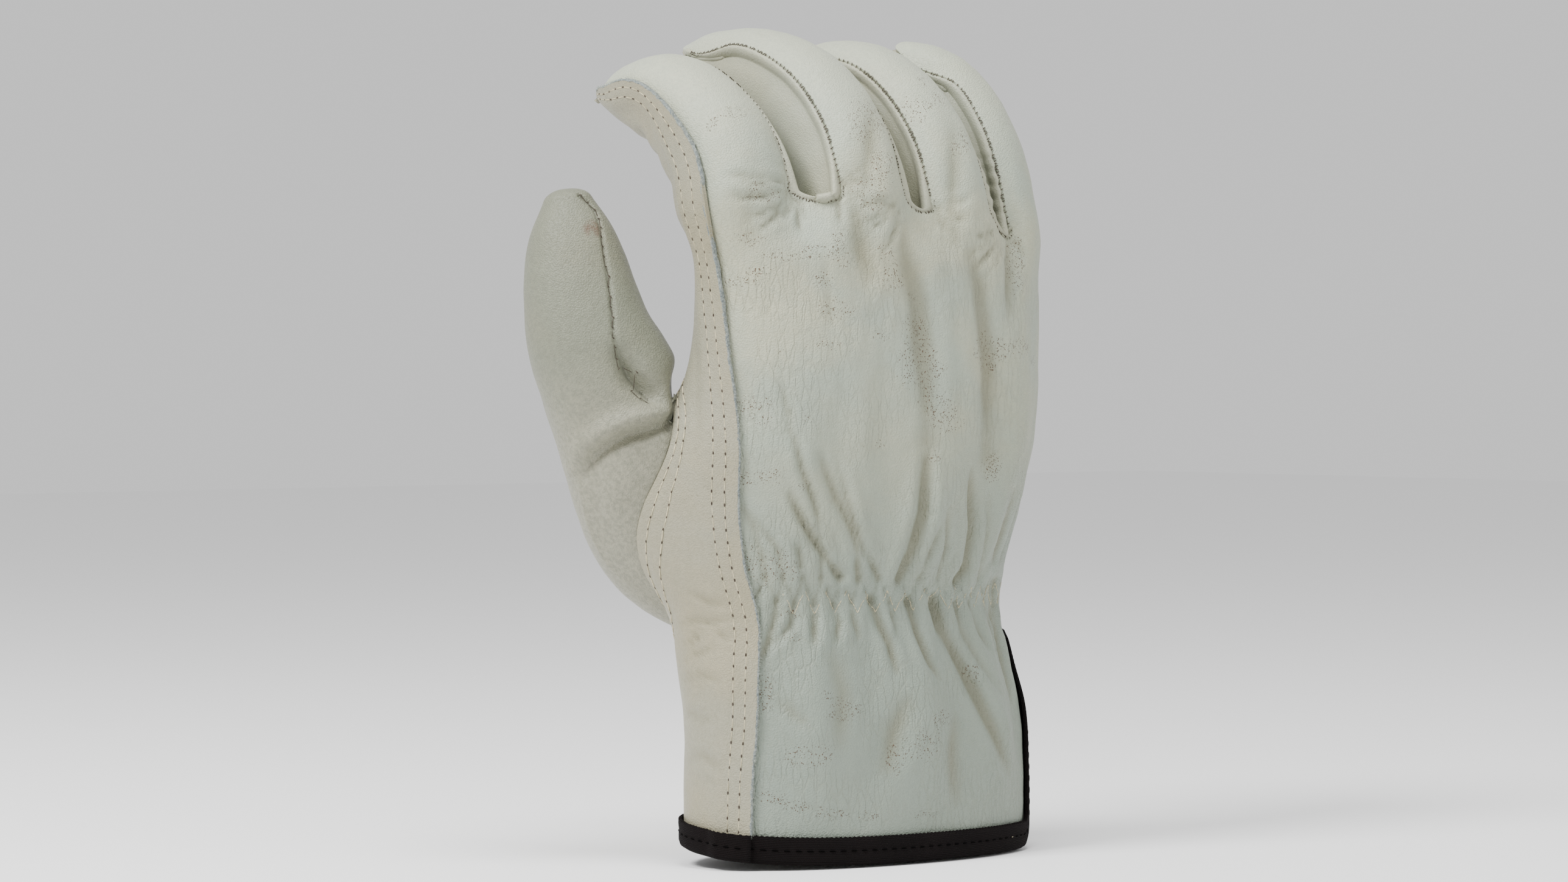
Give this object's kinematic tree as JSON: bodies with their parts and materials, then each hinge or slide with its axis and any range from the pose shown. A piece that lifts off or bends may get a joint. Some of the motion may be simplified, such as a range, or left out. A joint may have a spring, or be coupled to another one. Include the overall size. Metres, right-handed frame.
{
  "type": "leather driver glove",
  "caption": "Right-hand driver glove of grain leather with keystone thumb, shirred wrist and bound cuff.",
  "frame": {"origin": "middle of the cuff opening, where the hand goes in, level with the lowest edge of the binding", "axes": "+Z from the cuff towards the fingertips, -Y the back of the hand, +Y the palm, -X the thumb side"},
  "size_m": [0.1394, 0.0757, 0.2116],
  "materials": {
    "grain_leather": "pale grey-green cream, soft semi-matt grain",
    "palm_leather": "slightly warmer cream, soft matt grain",
    "binding_tape": "near-black brown ribbed woven tape"
  },
  "bodies": {
    "root": {"back_panel": "grain_leather", "palm_panel": "palm_leather", "thumb": "palm_leather", "fourchette_index_middle": "grain_leather", "fourchette_middle_ring": "grain_leather", "fourchette_ring_little": "grain_leather", "cuff_binding": "binding_tape"}
  },
  "joints": []
}
